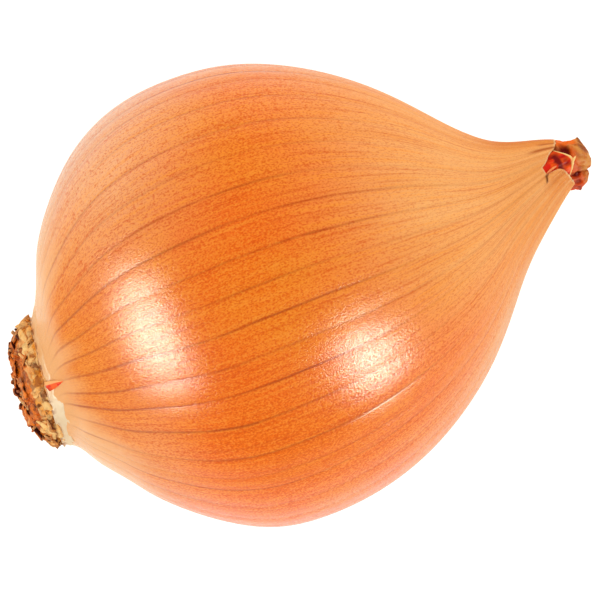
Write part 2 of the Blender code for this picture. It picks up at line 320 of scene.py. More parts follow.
def addCamera():
    camera = bpy.data.cameras.new("camera")
    camera.sensor_width = cameraLook["sensor"]
    view = cameraLook["pixel"] * cameraLook["width"]
    camera.lens = cameraLook["sensor"] * cameraLook["distance"] / view
    camera.clip_start, camera.clip_end = cameraLook["clip"]
    holder = bpy.data.objects.new("camera", camera)
    bpy.context.scene.collection.objects.link(holder)
    along, side = cameraLook["centre"]
    holder.location = inFrame(np.array((along, side, cameraLook["distance"])))
    holder.rotation_euler = (0, 0, -cameraLook["roll"])
    bpy.context.scene.camera = holder


# Light: an even tent over a glowing white table, and two soft boxes that only give gloss
lightLook = {
    "sky": 1.0,
    "boxes": (
        # name, picture direction (right, up, near), distance, size across and up, watts
        ("leftBox", (-0.82, -0.33, 0.46), 0.62, (0.48, 0.27), 17.6),
        ("rightBox", (0.76, -0.46, 0.46), 0.62, (0.21, 0.28), 11.4),
    ),
    "lampColour": (0.92, 1.0, 0.86),
    "floor": "#a0a09f",
    "floorHalf": 2.5,  # m
    "floorRoughness": 0.9,
    "floorGlow": 0.85,
    "floorGlowColour": (1.0, 0.995, 0.93),
}


def addLight():
    world = bpy.data.worlds.new("tent")
    world.use_nodes = True
    world.node_tree.nodes["Background"].inputs["Color"].default_value = (1, 1, 1, 1)
    world.node_tree.nodes["Background"].inputs["Strength"].default_value = lightLook["sky"]
    world.cycles_visibility.glossy = False
    bpy.context.scene.world = world
    middle = inFrame(np.array((cameraLook["centre"][0], cameraLook["centre"][1], 0.0)))
    for name, way, distance, size, watts in lightLook["boxes"]:
        lamp = bpy.data.lights.new(name, "AREA")
        lamp.shape = "RECTANGLE"
        lamp.size, lamp.size_y = size
        lamp.energy = watts
        lamp.color = lightLook["lampColour"]
        holder = bpy.data.objects.new(name, lamp)
        bpy.context.scene.collection.objects.link(holder)
        toward = pictureWay(*way)
        holder.location = middle + distance * toward
        holder.rotation_euler = Vector(toward).to_track_quat("Z", "Y").to_euler()
        holder.visible_diffuse = False


def addFloor():
    mesh = bpy.data.meshes.new("floor")
    half = lightLook["floorHalf"]
    mesh.from_pydata(
        [(-half, -half, 0), (half, -half, 0), (half, half, 0), (-half, half, 0)], [], [(0, 1, 2, 3)]
    )
    floor = bpy.data.objects.new("floor", mesh)
    bpy.context.scene.collection.objects.link(floor)
    material, tree, shader = newMaterial("paleSweep")  # matt white paper sweep
    shader.inputs["Base Color"].default_value = hexColour(lightLook["floor"])
    shader.inputs["Roughness"].default_value = lightLook["floorRoughness"]
    shader.inputs["Emission Color"].default_value = (*lightLook["floorGlowColour"], 1)
    shader.inputs["Emission Strength"].default_value = lightLook["floorGlow"]
    mesh.materials.append(material)


# Outer skin: one papery sheet from the root seat to the torn neck
skinShape = {
    "columns": 480,
    "bodyRows": 118,
    "neckRows": 70,
    "neckStart": 78.0,  # from here to the rim the rows follow the torn edge
    "wall": 0.3,
    "recess": 85.2,
    "veins": 43,
    # the veins on the side that the photo shows: degrees round from the top, then darkness
    "seenVeins": (
        (-61.7, 0.35), (-52.5, 0.55), (-47.5, 0.35), (-40.3, 0.9), (-30.3, 0.8), (-21.7, 1.0),
        (-14.5, 0.6), (-6.2, 0.7), (1.7, 0.6), (9.5, 1.0), (18.0, 0.8), (26.2, 0.75),
        (35.3, 0.3), (44.2, 0.45), (54.7, 0.35), (64.0, 0.35),
    ),
    # how far the veins turn round the bulb: mm along, then degrees
    "twist": ((0, -3.9), (5, -3.7), (15, -1.8), (34, 0), (60, 0.8), (80, 3.0), (95, 3.2)),
    "rib": 0.09,
    "lump": 0.12,
    "pleat": 0.13,
    "ragged": 0.07,
    # shares of the length: where the ribs and the pleats start, and over how much they grow
    "ribStart": (0.01, 0.07),
    "pleatStart": (0.76, 0.2),
    # the torn edge: degrees round from the top towards +Y, then mm along
    "tornRim": (
        (-180, 89.8), (-120, 89.9), (-90, 90.1), (-60, 90.1), (-46, 89.9), (-33, 89.75),
        (-22, 89.55), (-14, 89.35), (-8, 88.9), (-5.2, 88.4), (-3.6, 87.7), (-2.6, 87.0),
        (-1.8, 86.4), (4, 86.35), (11, 86.2), (14.5, 86.9), (20, 87.55), (26, 88.1),
        (31, 88.55), (36, 89.15), (47, 89.65), (61, 90.05), (78, 90.25), (90, 90.2),
        (130, 90.1), (180, 89.8),
    ),
    # the crack below the tear, from its end to the tear: degrees, then mm along
    "crack": ((-12.5, 86.0), (-6.7, 86.22), (-1.8, 86.42)),
    "crackWidth": 0.16,
    # the front lobe beyond the crack: its start and end in degrees, and how far it stands proud
    "lobe": (-14.0, -1.8),
    "lobeLift": 0.3,
    "lobeEdgeLift": 0.18,
}


def veinTable():
    # each vein's angle at the widest place and its darkness; the hidden side is seeded
    seen = np.array(skinShape["seenVeins"])
    hidden = skinShape["veins"] - len(seen)
    gap = (360 - (seen[-1, 0] - seen[0, 0])) / (hidden + 1)
    chance = np.random.default_rng(11)
    others = seen[-1, 0] + gap * (np.arange(1, hidden + 1) + chance.uniform(-0.2, 0.2, hidden))
    angles = np.concatenate((seen[:, 0], others))
    return angles, np.concatenate((seen[:, 1], chance.uniform(0.3, 1, hidden)))


def veinTurn(degrees, along):
    # the share of a turn in which the veins are even: vein number i lies at (i + 0.5) / count
    angles, _ = veinTable()
    turns = (np.arange(len(angles)) + 0.5) / len(angles)
    knots = np.concatenate((angles - 360, angles, angles + 360))
    twist = readTable(skinShape["twist"], along)
    return np.interp(degrees - twist, knots, np.concatenate((turns - 1, turns, turns + 1)))


def signedDegrees(angle):
    # an angle as degrees from -180 to 180
    return np.degrees(np.angle(np.exp(1j * np.asarray(angle))))


def skinRelief(along, turn):
    # how far the skin stands out of its plain outline, in mm
    share = along / bulbShape["skinLength"]
    pleatStart, pleatGrowth = skinShape["pleatStart"]
    ribStart, ribGrowth = skinShape["ribStart"]
    neck = ease((share - pleatStart) / pleatGrowth)
    start = ease((share - ribStart) / ribGrowth)
    # between two veins the skin swells a little, and each vein lies in a fine crease
    swell = np.abs(np.sin(math.pi * (turn * skinShape["veins"] - 0.5))) ** 0.7 - 0.6
    lump = latticeNoise(turn * 12, along / 17, 3, 12)
    lump = lump + 0.5 * latticeNoise(turn * 40, along / 22, 4, 40)
    # the neck's pleats: ridges of uneven width that close in on the rim
    pleat = latticeNoise(turn * 56, along / 16, 5, 56)
    pleat = pleat + 0.5 * latticeNoise(turn * 110, along / 9, 6, 110)
    body = skinShape["rib"] * (1 - neck) * swell + skinShape["lump"] * (1 - 0.7 * neck) * lump
    return start * body + neck * skinShape["pleat"] * pleat


def buildSkin(material):
    # rows follow the outline to the torn rim, turn in over the wall and close deep in the neck
    columns = skinShape["columns"]
    degrees = -180 + 360 * np.arange(columns) / columns
    angle = np.radians(degrees)
    ragged = skinShape["ragged"] * latticeNoise(degrees / 2.25, 0.5, 8, 160)
    rim = readTable(skinShape["tornRim"], degrees) + ragged
    neckShare = np.interp(skinShape["neckStart"], alongAt(fineShares), fineShares)
    bodyShares = np.linspace(0, neckShare, skinShape["bodyRows"], endpoint=False)
    shares = np.concatenate((bodyShares, np.linspace(neckShare, 1, skinShape["neckRows"])))
    plain = alongAt(shares)[:, None]
    stretch = (rim - skinShape["neckStart"]) / (bulbShape["skinLength"] - skinShape["neckStart"])
    pulled = skinShape["neckStart"] + (plain - skinShape["neckStart"]) * stretch
    along = np.where(plain > skinShape["neckStart"], pulled, np.broadcast_to(plain, pulled.shape))
    turn = veinTurn(degrees, along)
    radius = skinRadius(along) + skinRelief(along, turn)
    # the front lobe stands proud past the crack, and its edge turns up
    past = along - readTable(skinShape["crack"], degrees)
    lobeStart, lobeEnd = skinShape["lobe"]
    onLobe = ease((degrees - lobeStart) / 6) * (degrees < lobeEnd) * ease(past / 0.14)
    onLobe = onLobe * (1 - ease((past - 1.0) / 4.5))
    lobeEdge = ease((along - rim + 1.1) / 1.1) * bump(degrees, -20, 34)
    radius = radius + skinShape["lobeLift"] * onLobe + skinShape["lobeEdgeLift"] * lobeEdge
    outer = roundPoints(along, radius, angle)

    wall = skinShape["wall"]
    inward = [(rim + 0.02, radius[-1] - 0.35 * wall), (rim, radius[-1] - wall)]
    for step in np.linspace(0.12, 1, 7):
        at = rim + (skinShape["recess"] - rim) * step
        inward.append((at, np.minimum(skinRadius(at) - 1.6 * wall, radius[-1] - wall + 3.2 * step)))
    inner = np.stack([roundPoints(at, r, angle) for at, r in inward])
    points = np.concatenate((outer, inner))

    rows = len(points)
    upward = np.concatenate((along, np.stack([np.broadcast_to(at, columns) for at, _ in inward])))
    turn = veinTurn(degrees, upward)
    outside = np.arange(rows)[:, None] < len(along) + 1
    toRim = np.where(outside, np.clip(rim - upward, 0, 8), 0)
    # painted shade of the crack: a dark line below the tear, on the lobe's side
    crackPast = upward - readTable(skinShape["crack"], degrees)
    crackShade = np.exp(-((crackPast / skinShape["crackWidth"]) ** 2)) * ease((degrees - lobeStart) / 4)
    crackShade = crackShade * ease((lobeEnd + 0.8 - degrees) / 0.8)
    _, darkness = veinTable()
    vein = np.floor(turn * skinShape["veins"]).astype(int)
    fade = 0.62 + 0.38 * latticeNoise(vein, upward / 13, 12, skinShape["veins"])
    fade = fade * ease((upward - 1.0) / 4) * (1 - 0.72 * ease((upward - 42) / 25))
    values = {
        "toRim": toRim,
        # painted shade along the crack
        "crackShade": np.where(outside, crackShade, 0),
        # painted shade: the turned-in wall inside the neck is dark
        "insideShade": 1.0 - outside * np.ones(columns),
        "girth": turnAngle * skinRadius(np.minimum(upward, 90)),
        "veinDark": darkness[vein % len(darkness)] * fade,
        # where the painted highlight along a crease beside one vein lies
        "glintLine": bump(degrees, -41, 4) * bump(upward, 49.5, 7.5),
        "ring": np.stack((np.cos(turnAngle * turn), np.sin(turnAngle * turn), upward / 10), axis=-1),
        **skinTones(degrees, upward, turn),
    }
    # the map's first value is the share of a turn in which the veins are even
    mapTurn = np.append(turn, turn[:, :1] + 1, axis=1)
    mapAlong = np.append(upward, upward[:, :1], axis=1) / 100
    uv = np.stack((mapTurn, mapAlong), axis=-1)
    mesh = sheetMesh("onionSkin", points, poles=(True, True), uv=uv, values=values)
    flattenRest(mesh)
    faceOutwards(mesh)
    return addPiece("onionSkin", mesh, material, ("bulb",))


# Soft patches on the skin, of tone and of painted sheen: the middle and the half width in degrees, then
# in mm along
skinPatches = {
    "upperSheen": ((48, 44), (16, 26)),
    "lowerSheen": ((-42, 28), (10, 13)),
    "red": ((-46, 42), (32, 42)),
    # painted sheen along the lower rim
    "lowerRimSheen": ((-74, 22), (73, 15)),
    "dullRoot": ((0, 78), (7, 9)),
}


def patchShare(name, degrees, along):
    # 1 in the middle of a patch, down to 0 at its edge
    around, lengthwise = skinPatches[name]
    return bump(degrees, *around) * bump(along, *lengthwise)


def skinTones(degrees, along, turn):
    # where the skin is pale, red, tan or neck-coloured, and where sheen and fold shade are painted on
    # it, each from 0 to 1
    ragged = latticeNoise(turn * 43, along / 6, 91, 43)
    paleReach = 3.8 + 1.0 * ragged + 3.2 * ease((np.abs(degrees) - 25) / 20)
    drift = latticeNoise(turn * 9, along / 24, 92, 9)
    neckStart = 45 + 4 * drift - 10 * bump(degrees, 18, 60) + 8 * bump(degrees, -45, 35)
    neck = ease((along - neckStart) / 40)
    upperSide = ease((degrees * (degrees < 120) + 10 * drift - 12) / 60)
    tan = upperSide * (0.45 + 0.55 * ease((along - 30) / 40))
    # painted shade of folds that run to the upper corner of the tear
    foldShade = bump(degrees, 41.5, 6) * ease((along - 84) / 3)
    foldShade = foldShade + bump(degrees, 55, 6) * ease((along - 86.5) / 1.5)
    return {
        "pale": ease(1.25 - along / paleReach / 1.6),
        "peach": 1 - ease((along - 5) / (18 + 4 * ragged)),
        # painted sheen: paler patches above and below, near the root end
        "sheenPatch": patchShare("upperSheen", degrees, along) + 0.5 * patchShare("lowerSheen", degrees, along),
        # painted sheen: paler towards the upper and lower rims, a reflection at grazing angles painted
        # into the colour
        "rimSheen": 0.85 * bump(degrees, 80, 38) * ease((46 - along) / 30)
        + 0.6 * patchShare("lowerRimSheen", degrees, along),
        "red": patchShare("red", degrees + 14 * drift, along),
        "tan": tan,
        "neck": neck,
        "neckTop": bump(degrees, 74, 26) * ease((along - 74) / 8)
        + 0.55 * bump(degrees, -18, 30) * ease((along - 84.5) / 3),
        "foldShade": foldShade * (0.8 + 0.2 * latticeNoise(turn * 120, along / 8, 94, 120)),
        "dull": 0.75 * neck + 0.4 * tan + 0.65 * patchShare("dullRoot", degrees, along),
        "streak": 0.5 + 0.5 * latticeNoise(turn * 86, along / 30, 93, 86),
    }


def flattenRest(mesh):
    # no point lies below the table: those that would are raised to it
    corner = np.zeros(len(mesh.vertices) * 3, np.float32)
    mesh.vertices.foreach_get("co", corner)
    corner = corner.reshape(-1, 3)
    corner[:, 2] = np.maximum(corner[:, 2], 0)
    mesh.vertices.foreach_set("co", corner.ravel())
    mesh.update()


# Dry onion skin: a thin waxy paper, glossy, with brown veins and a fine cell grain
skinLook = {
    "deep": "#f66c00",
    "mid": "#f58410",
    "red": "#f46e00",
    "tan": "#f89a42",
    "neck": "#fdbe76",
    "neckStreak": "#ec8a34",
    "neckTop": "#dc7608",
    "peach": "#ea8618",
    # the colour of the painted sheen patches
    "sheenPatch": "#fabc84",
    # the colour of the painted sheen on the rims
    "rimSheen": "#e8bc94",
    "base": "#f3b272",
    # the painted shade of the folds by the tear
    "foldShade": "#b04802",
    "vein": "#9c2600",
    "speck": "#d64a00",
    "glint": "#ff9c30",
    # the colour of the painted highlight on a crease
    "creaseHighlight": "#ffe0b0",
    # the torn rim's pale colour, partly a painted highlight
    "edge": "#f8d9a4",
    # the colour of the painted shade in the crack
    "crack": "#5a1b04",
    # the colour of the painted shade inside the neck
    "insideShade": "#a03808",
    "light": "#fb9428",
    "dark": "#dc5a04",
    "veinWidth": (0.04, 0.32),  # mm from a vein's middle: where it starts to fade and where it ends
    # the width of the painted shade beside each vein
    "veinShadeWidth": 1.0,  # mm
    # shares of the gap between two veins: how far all are moved, how far each wanders, and how
    # far beside its vein the painted highlight of a crease lies
    "veinShift": -0.045,
    "veinWander": 0.09,
    "creaseShift": 0.065,
    "grainAround": 150.0,  # of the ring noise: a cell is 0.25 mm wide at the widest place
    "grainAlong": 28.0,  # and 0.36 mm long
    "reliefDepth": 0.00008,  # m
    "veinRelief": 0.5,
    "grainRelief": 0.7,
    "roughness": 0.42,
    "specular": 0.1,
    "ior": 1.3,
    "waxRoughness": 0.22,
    "waxIor": 1.3,
    "speckDulls": 0.65,
}


def skinMaterial():
    look = skinLook
    material, tree, shader = newMaterial("dryOnionSkin")
    add = partial(addNode, tree)
    turn = add("SeparateXYZ", {0: add("UVMap", uv_map="skinMap")})
    ring = add("Attribute", output="Vector", attribute_name="ring")
    fields = {}
    for name in (
        "girth", "toRim", "crackShade", "insideShade", "veinDark", "pale", "peach", "sheenPatch", "red", "tan",
        "neck", "neckTop", "streak", "glintLine", "foldShade", "dull", "rimSheen",
    ):
        fields[name] = add("Attribute", output="Fac", attribute_name=name)

    # noises on the ring: their scales are round it, round it, then along the bulb
    noises = {}
    for name, scale, detail in (
        ("wander", (14.0, 14.0, 0.9), 2.0),
        ("grain", (look["grainAround"], look["grainAround"], look["grainAlong"]), 2.0),
        ("fibre", (70.0, 70.0, 0.7), 4.0),
        ("broken", (40.0, 40.0, 3.5), 3.0),
        ("patch", (2.6, 2.6, 0.7), 3.0),
    ):
        at = add("Mapping", {"Vector": ring, "Scale": scale})
        noises[name] = add("TexNoise", {"Vector": at, "Scale": 1.0, "Detail": detail})

    # veins: the distance to the nearest one, in mm round the skin, with a slight wander
    veins = float(skinShape["veins"])
    phase = add("Math", {0: turn, 1: veins, 2: look["veinShift"]}, operation="MULTIPLY_ADD")
    phase = add("Math", {0: noises["wander"], 1: look["veinWander"], 2: phase}, operation="MULTIPLY_ADD")
    inCell = add("Math", {0: phase}, operation="FRACT")
    off = add("Math", {0: inCell, 1: 0.5}, operation="SUBTRACT")
    off = add("Math", {0: off}, operation="ABSOLUTE")
    cellWidth = add("Math", {0: fields["girth"], 1: veins}, operation="DIVIDE")
    off = add("Math", {0: off, 1: cellWidth}, operation="MULTIPLY")
    # a painted highlight on a crease beside one vein: the same distance with the middle moved by 0.36 mm
    beside = add("Math", {0: phase, 1: look["creaseShift"]}, operation="ADD")
    beside = add("Math", {0: beside}, operation="FRACT")
    beside = add("Math", {0: beside, 1: 0.5}, operation="SUBTRACT")
    beside = add("Math", {0: beside}, operation="ABSOLUTE")
    beside = add("Math", {0: beside, 1: cellWidth}, operation="MULTIPLY")

    # shares of each paint: source, where the share starts and where it is full
    shares = dict(fields)
    for name, value, start, full in (
        ("thinLine", off, look["veinWidth"][1], look["veinWidth"][0]),
        # painted shade: a soft band about a mm wide round each vein
        ("veinShadeRamp", off, look["veinShadeWidth"], 0.0),
        ("mid", noises["patch"], 0.36, 0.66),
        ("light", noises["fibre"], 0.5, 0.68),
        ("dark", noises["fibre"], 0.48, 0.32),
        ("whole", noises["broken"], 0.12, 0.5),
        ("creaseHighlight", beside, 0.16, 0.02),
        ("speck", noises["grain"], 0.5, 0.36),
        ("glint", noises["grain"], 0.52, 0.66),
        # the torn rim is paler: partly the thin paper's own colour and partly a painted highlight
        ("edge", fields["toRim"], 0.3, 0.04),
    ):
        shares[name] = add("MapRange", {"Value": value, "From Min": start, "From Max": full})
    body = add("Math", {0: fields["neck"], 1: -0.4, 2: 1.0}, operation="MULTIPLY_ADD")
    for name, first, second in (
        ("line", "thinLine", "veinDark"), ("veinShade", "veinShadeRamp", "veinDark"),
        ("line", "line", "whole"), ("creaseHighlight", "creaseHighlight", "glintLine"),
        ("neckStreak", "neck", "streak"), ("edge", "edge", "streak"),
    ):
        shares[name] = add("Math", {0: shares[first], 1: shares[second]}, operation="MULTIPLY")
    for name in ("speck", "glint"):
        shares[name] = add("Math", {0: shares[name], 1: body}, operation="MULTIPLY")

    # the paints over each other: name of the share, name of the colour, strongest amount
    colour = hexColour(look["deep"])
    # of these, the rim and patch sheens are painted sheen, the vein band, folds, inside wall and crack
    # are painted shade, the crease line is a painted highlight, and the torn edge is partly one
    for share, paint, amount in (
        ("mid", "mid", 1.0), ("red", "red", 0.75), ("tan", "tan", 0.7), ("neck", "neck", 0.95),
        ("neckStreak", "neckStreak", 0.6), ("neckTop", "neckTop", 0.8), ("sheenPatch", "sheenPatch", 0.9),
        ("peach", "peach", 0.85), ("rimSheen", "rimSheen", 1.0), ("light", "light", 0.5),
        ("dark", "dark", 0.5), ("speck", "speck", 0.6), ("glint", "glint", 0.5),
        ("veinShade", "vein", 0.12), ("pale", "base", 0.9), ("foldShade", "foldShade", 1.0),
        ("line", "vein", 0.85), ("creaseHighlight", "creaseHighlight", 0.9), ("edge", "edge", 0.95),
        ("insideShade", "insideShade", 1.0), ("crackShade", "crack", 1.0),
    ):
        weight = add("Math", {0: shares[share], 1: amount}, operation="MULTIPLY")
        paintColour = hexColour(look[paint])
        colour = add("Mix", {0: weight, 6: colour, 7: paintColour}, output=2, data_type="RGBA")

    # relief: the creases of the veins, the streaks and the cells
    height = add("Math", {0: shares["line"], 1: -0.5}, operation="MULTIPLY")
    height = add("Math", {0: noises["fibre"], 1: 0.3, 2: height}, operation="MULTIPLY_ADD")
    depth = look["reliefDepth"]
    coarse = add("Bump", {"Height": height, "Distance": depth, "Strength": look["veinRelief"]})
    cells = {"Height": noises["grain"], "Distance": depth, "Strength": look["grainRelief"]}
    fine = add("Bump", {**cells, "Normal": coarse})
    finishMaterial(tree, shader, look, colour, fine)

    # the wax is thin on the neck, on the tan side and by the root, and the darker specks are dull
    coat = add("Math", {0: 1.0, 1: fields["dull"]}, operation="SUBTRACT")
    dulled = {0: shares["speck"], 1: -look["speckDulls"], 2: coat}
    coat = add("Math", dulled, operation="MULTIPLY_ADD", use_clamp=True)
    tree.links.new(coat, shader.inputs["Coat Weight"])
    tree.links.new(fine, shader.inputs["Coat Normal"])
    shader.inputs["IOR"].default_value = look["ior"]
    shader.inputs["Coat Roughness"].default_value = look["waxRoughness"]
    shader.inputs["Coat IOR"].default_value = look["waxIor"]
    return material


# The neck's inner scale: dark red, dried, with a thick pale lip
scaleShape = {
    "columns": 260,
    "start": 85.0,
    "floor": 88.9,
    "lip": 0.27,
    # degrees round, then mm along for the lip
    "rim": (
        (-180, 88.9), (-60, 89.0), (-36, 90.1), (-24, 90.6), (-12, 90.95), (0, 91.15),
        (10, 90.95), (17, 90.55), (29, 89.85), (41, 89.05), (80, 88.8), (180, 88.9),
    ),
    # mm along, then radius, on the side that shows
    "radius": ((85.0, 6.5), (86.5, 5.35), (88.0, 4.45), (89.4, 3.95), (90.4, 3.75), (91.2, 3.7)),
    "fold": 0.2,
}


def buildInnerScale(material):
    # a folded sleeve in the neck, whose rim rolls over into a thick lip and goes down again
    columns = scaleShape["columns"]
    turn = np.arange(columns) / columns
    angle = turnAngle * turn
    degrees = signedDegrees(angle)
    rim = readTable(scaleShape["rim"], degrees) + 0.05 * latticeNoise(turn * 60, 0.5, 21, 60)
    step = np.linspace(0, 1, 60)[:, None]
    along = scaleShape["start"] + (rim - scaleShape["start"]) * step
    radius = readTable(scaleShape["radius"], along) - 0.7 * (1 - bump(degrees, 0, 95))
    # dried folds that run with the neck, deeper away from the lip
    fold = latticeNoise(turn * 30, along / 2.2, 22, 30)
    fold = fold + 0.5 * latticeNoise(turn * 70, along / 1.1, 23, 70)
    radius = radius + scaleShape["fold"] * fold * (1 - 0.7 * ease((along - rim + 1.2) / 1.2))
    outer = roundPoints(along, radius, angle)
    uneven = 0.25 * latticeNoise(turn * 40, 0.5, 24, 40)
    lip = scaleShape["lip"] * (0.45 + 0.65 * bump(degrees, -4, 52) + uneven)
    curl = []
    for way in np.linspace(0.2, 1, 6) * math.pi:
        curl.append((rim + lip * math.sin(way), radius[-1] - lip * (1 - math.cos(way))))
    for share in (0.3, 0.6, 1.0):
        at = rim + (scaleShape["floor"] - 0.6 - rim) * share
        curl.append((at, radius[-1] - 2 * lip - 0.5 * share))
    points = np.concatenate((outer, np.stack([roundPoints(at, r, angle) for at, r in curl])))
    pale = np.zeros(points.shape[:2])
    pale[: len(along)] = ease(1 - (rim - along) / 0.2)
    pale[len(along) : len(along) + 6] = 1
    pale[len(along) + 6] = 0.4
    # painted shade: darker in a band below the lip and in the hollows of the folds
    deep = np.zeros(points.shape[:2])
    shadeBand = bump(along, 89.1 + 0.5 * fold, 1.1) * bump(degrees, 4, 38)
    deep[: len(along)] = ease(1.15 * shadeBand - 0.5 * fold)
    mesh = sheetMesh("innerScale", points, poles=(True, True), values={"pale": pale, "deep": deep})
    faceOutwards(mesh)
    return addPiece("innerScale", mesh, material, ("inner_scale",))


# Thin torn strips: each is a tube along a few points (mm along, mm to the side, mm up), with
# a half width and a half thickness
stripShape = {
    # the edge of a second scale, which joins the lip in a fork
    "secondLip": {
        "path": (
            (90.6, 2.3, 3.3), (91.05, 3.1, 3.75), (91.3, 3.6, 3.9), (91.65, 3.95, 3.8),
            (91.95, 4.2, 3.5),
        ),
        "half": (0.17, 0.15),
        "tone": 1.0,
    },
    # a shred of outer skin that stands in the tear, beside the front lobe
    "tornShred": {
        "path": (
            (86.4, 2.98, 5.85), (87.0, 3.22, 5.6), (87.6, 3.44, 5.3), (88.1, 3.6, 4.95),
            (88.5, 3.7, 4.6),
        ),
        "half": (0.17, 0.08),
        "tone": 0.4,
    },
}


def buildStrip(name, material):
    # an ellipse carried along a smooth path, thin at both ends
    shape = stripShape[name]
    knots = np.array(shape["path"], float)
    step = np.linspace(0, 1, len(knots))
    fine = np.linspace(0, 1, 25)
    path = np.stack([smoothCurve(step, knots[:, i])(fine) for i in range(3)], axis=-1)
    forward = unit(np.gradient(path, axis=0))
    side = unit(np.cross(forward, (0.0, 0.0, 1.0)))
    up = np.cross(side, forward)
    taper = np.clip(1 - np.abs(2 * fine - 1) ** 2.5, 0.08, 1) ** 0.5
    taper = taper * (1 + 0.25 * latticeNoise(fine * 9, 0.5, 25))
    angle = turnAngle * np.arange(10) / 10
    wide, thick = shape["half"]
    loops = path[:, None] + (wide * taper)[:, None, None] * side[:, None] * np.cos(angle)[:, None]
    loops = loops + (thick * taper)[:, None, None] * up[:, None] * np.sin(angle)[:, None]
    values = {"pale": np.full(loops.shape[:2], shape["tone"]), "deep": np.zeros(loops.shape[:2])}
    mesh = sheetMesh(name, loops, poles=(True, True), values=values)
    faceOutwards(mesh)
    return addPiece(name, mesh, material)


# Dried inner scale: shiny dark red skin with orange streaks, painted shade in dark maroon, and its cut
# lip cream
scaleLook = {
    # the colour of the painted shade
    "deep": "#820400",
    "red": "#ea1a00",
    "orange": "#ff5c00",
    "lip": "#ffd080",
    "streakScale": 1100.0,  # a streak is 0.9 mm wide
    "streakDraw": (0.35, 1.0, 1.0),  # and 2.6 mm long, along the neck
    "reliefDepth": 0.00012,  # m
    "reliefStrength": 0.5,
    "roughness": 0.5,
    "specular": 0.12,
}


def scaleMaterial():
    look = scaleLook
    material, tree, shader = newMaterial("driedRedScale")
    add = partial(addNode, tree)
    place = add("TexCoord", output="Object")
    pale = add("Attribute", output="Fac", attribute_name="pale")
    deep = add("Attribute", output="Fac", attribute_name="deep")
    drawn = add("Mapping", {"Vector": place, "Scale": look["streakDraw"]})
    streak = add("TexNoise", {"Vector": drawn, "Scale": look["streakScale"], "Detail": 3.0})
    orange = add("MapRange", {"Value": streak, "From Min": 0.36, "From Max": 0.6}, **smoothRange)
    colour = hexColour(look["red"])
    # the orange streaks, then the painted shade, then the cream lip over all
    for share, paint in ((orange, "orange"), (deep, "deep"), (pale, "lip")):
        paintColour = hexColour(look[paint])
        colour = add("Mix", {0: share, 6: colour, 7: paintColour}, output=2, data_type="RGBA")
    depth, strength = look["reliefDepth"], look["reliefStrength"]
    relief = add("Bump", {"Height": streak, "Distance": depth, "Strength": strength})
    finishMaterial(tree, shader, look, colour, relief)
    return material


# The papery ends of the innermost scales, each a wrinkled cap that closes at both ends
tipShape = {
    "hood": {
        # mm along, then how far its middle lies to the side, then its radius
        "profile": (
            (89.0, 4.3, 3.5), (90.0, 4.25, 3.3), (90.9, 4.2, 2.95), (91.9, 4.25, 2.65),
            (92.8, 4.2, 2.5), (93.5, 4.05, 2.2), (94.0, 3.8, 1.6), (94.3, 3.7, 0.7),
        ),
        "wrinkle": 0.24, "seed": 31,
        # a dented hollow behind the lip and a pointed tip: mm along, degrees round, size
        "hollow": (90.6, 30, 0.95), "point": (93.5, 88, 0.5),
    },
    "crumple": {
        "profile": (
            (89.2, 1.4, 1.9), (90.2, 1.15, 1.85), (91.0, 1.05, 1.75), (91.8, 1.1, 1.5),
            (92.5, 1.2, 1.15), (92.95, 1.25, 0.7), (93.3, 1.15, 0.25),
        ),
        "wrinkle": 0.45, "seed": 44, "hollow": (91.3, 25, 0.35), "point": (91.1, -85, 0.3),
    },
    "fineWrinkle": 0.06,
    "rows": 90,
    "columns": 150,
}


def buildTip(name, material, stands=()):
    # rings of the profile's radius round its middle line, with creases, a hollow and a point
    shape = tipShape[name]
    columns = tipShape["columns"]
    turn = np.arange(columns) / columns
    degrees = signedDegrees(turnAngle * turn)
    profile = np.array(shape["profile"])
    share = np.linspace(0, 1, len(profile))
    step = np.linspace(0, 1, tipShape["rows"])
    along, middle, radius = (smoothCurve(share, profile[:, i])(step)[:, None] for i in range(3))
    seed = shape["seed"]
    # creases run with the neck, and a finer crumple crosses them
    crease = latticeNoise(turn * 9 + 0.2 * np.sin(along), along / 1.5, seed, 9)
    ridged = 1 - 2.4 * np.abs(latticeNoise(turn * 14 + 0.4 * along, along / 1.1, seed + 1, 14))
    crease = 0.7 * crease + 0.7 * ridged
    fine = latticeNoise(turn * 48, along / 0.35, seed + 2, 48)
    closing = ease(radius / 1.2)
    hollowAt, hollowTurn, hollowDepth = shape["hollow"]
    hollow = ease(1.6 * bump(along, hollowAt, 1.2) * bump(degrees, hollowTurn, 44))
    pointAt, pointTurn, pointHeight = shape["point"]
    point = bump(along, pointAt, 0.55) * bump(degrees, pointTurn, 24)
    radius = radius + closing * (shape["wrinkle"] * crease + tipShape["fineWrinkle"] * fine)
    radius = np.maximum(radius - hollowDepth * hollow + pointHeight * point, 0.05)
    ragged = 0.12 * latticeNoise(turn * 26, 0.5, seed + 3, 26) * ease(step[:, None] * 3 - 2)
    angle = turnAngle * turn
    parts = np.broadcast_arrays(along + ragged, middle + radius * np.sin(angle), radius * np.cos(angle))
    points = np.stack(parts, axis=-1)
    rising = ease((degrees + 20) / 60) * bump(degrees, 90, 110)
    values = {
        # painted shade in the creases and in the dented hollow; the pointed tip is dark in its own
        # colour
        "crease": ease(0.45 - 0.8 * crease),
        "hollow": np.maximum(hollow, point),
        "strip": ease((degrees - 42) / 14) * ease((140 - degrees) / 20) * ease((93.4 - along) / 1.2),
        "lower": (1 - rising) * ease((93.0 - along) / 1.6),
    }
    mesh = sheetMesh(name, points, poles=(True, True), values=values)
    faceOutwards(mesh)
    return addPiece(name, mesh, material, stands)


